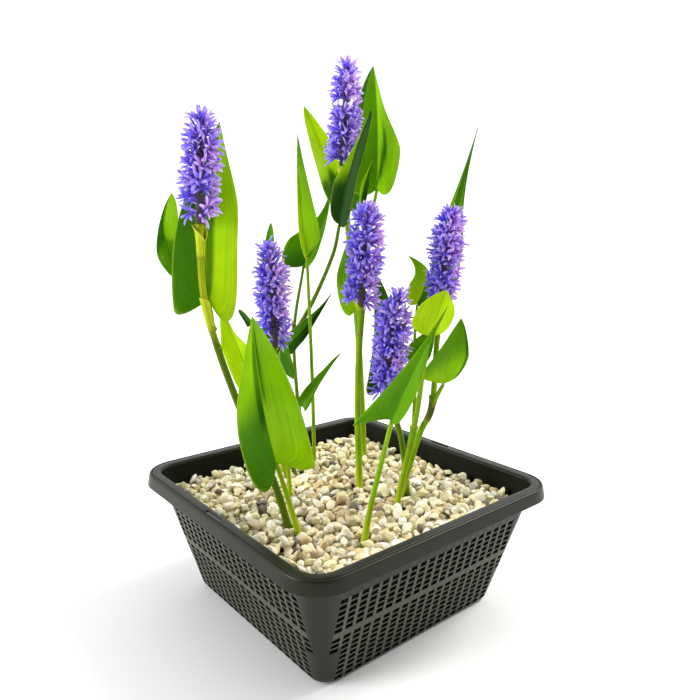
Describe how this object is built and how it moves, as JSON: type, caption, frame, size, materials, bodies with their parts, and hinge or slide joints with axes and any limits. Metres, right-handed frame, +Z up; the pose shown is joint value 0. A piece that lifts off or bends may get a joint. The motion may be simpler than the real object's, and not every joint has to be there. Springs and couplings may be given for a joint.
{
  "type": "pickerelweed",
  "caption": "Marginal pond plant with upright violet flower spikes and lance-shaped leaves, rooted in soil under gravel in a square perforated pond basket.",
  "frame": {"origin": "centre of the basket's underside, on the surface it stands on", "axes": "+Z up, +X and +Y out of the basket's walls; the corner between +X and -Y is the picture's near corner"},
  "size_m": [0.23, 0.2348, 0.4112],
  "materials": {
    "basket_plastic": "satin",
    "soil": "matte",
    "gravel": "matte",
    "stem": "satin",
    "leaf": "satin",
    "flower": "matte"
  },
  "bodies": {
    "root": {"basket": "basket_plastic", "soil": "soil", "gravel": "gravel", "flower_stem_1": "stem", "flower_stem_2": "stem", "flower_stem_3": "stem", "flower_stem_4": "stem", "flower_stem_5": "stem", "flower_stem_6": "stem", "leaf_stalk_1": "stem", "leaf_stalk_2": "stem", "leaf_stalk_3": "stem", "leaf_stalk_4": "stem", "leaf_stalk_5": "stem", "leaf_stalk_6": "stem", "leaf_stalk_7": "stem", "leaf_stalk_8": "stem", "leaf_stalk_9": "stem", "leaf_stalk_10": "stem", "leaf_stalk_11": "stem", "leaf_stalk_12": "stem", "leaf_stalk_13": "stem", "leaf_stalk_14": "stem", "leaf_stalk_15": "stem", "leaf_stalk_16": "stem", "leaf_stalk_17": "stem", "leaf_stalk_18": "stem", "leaf_stalk_19": "stem", "leaf_stalk_20": "stem", "leaf_stalk_21": "stem", "leaf_1": "leaf", "leaf_2": "leaf", "leaf_3": "leaf", "leaf_4": "leaf", "leaf_5": "leaf", "leaf_6": "leaf", "leaf_7": "leaf", "leaf_8": "leaf", "leaf_9": "leaf", "leaf_10": "leaf", "leaf_11": "leaf", "leaf_12": "leaf", "leaf_13": "leaf", "leaf_14": "leaf", "leaf_15": "leaf", "leaf_16": "leaf", "leaf_17": "leaf", "leaf_18": "leaf", "leaf_19": "leaf", "leaf_20": "leaf", "leaf_21": "leaf", "flower_spike_1": "flower", "flower_spike_2": "flower", "flower_spike_3": "flower", "flower_spike_4": "flower", "flower_spike_5": "flower", "flower_spike_6": "flower"}
  },
  "joints": []
}
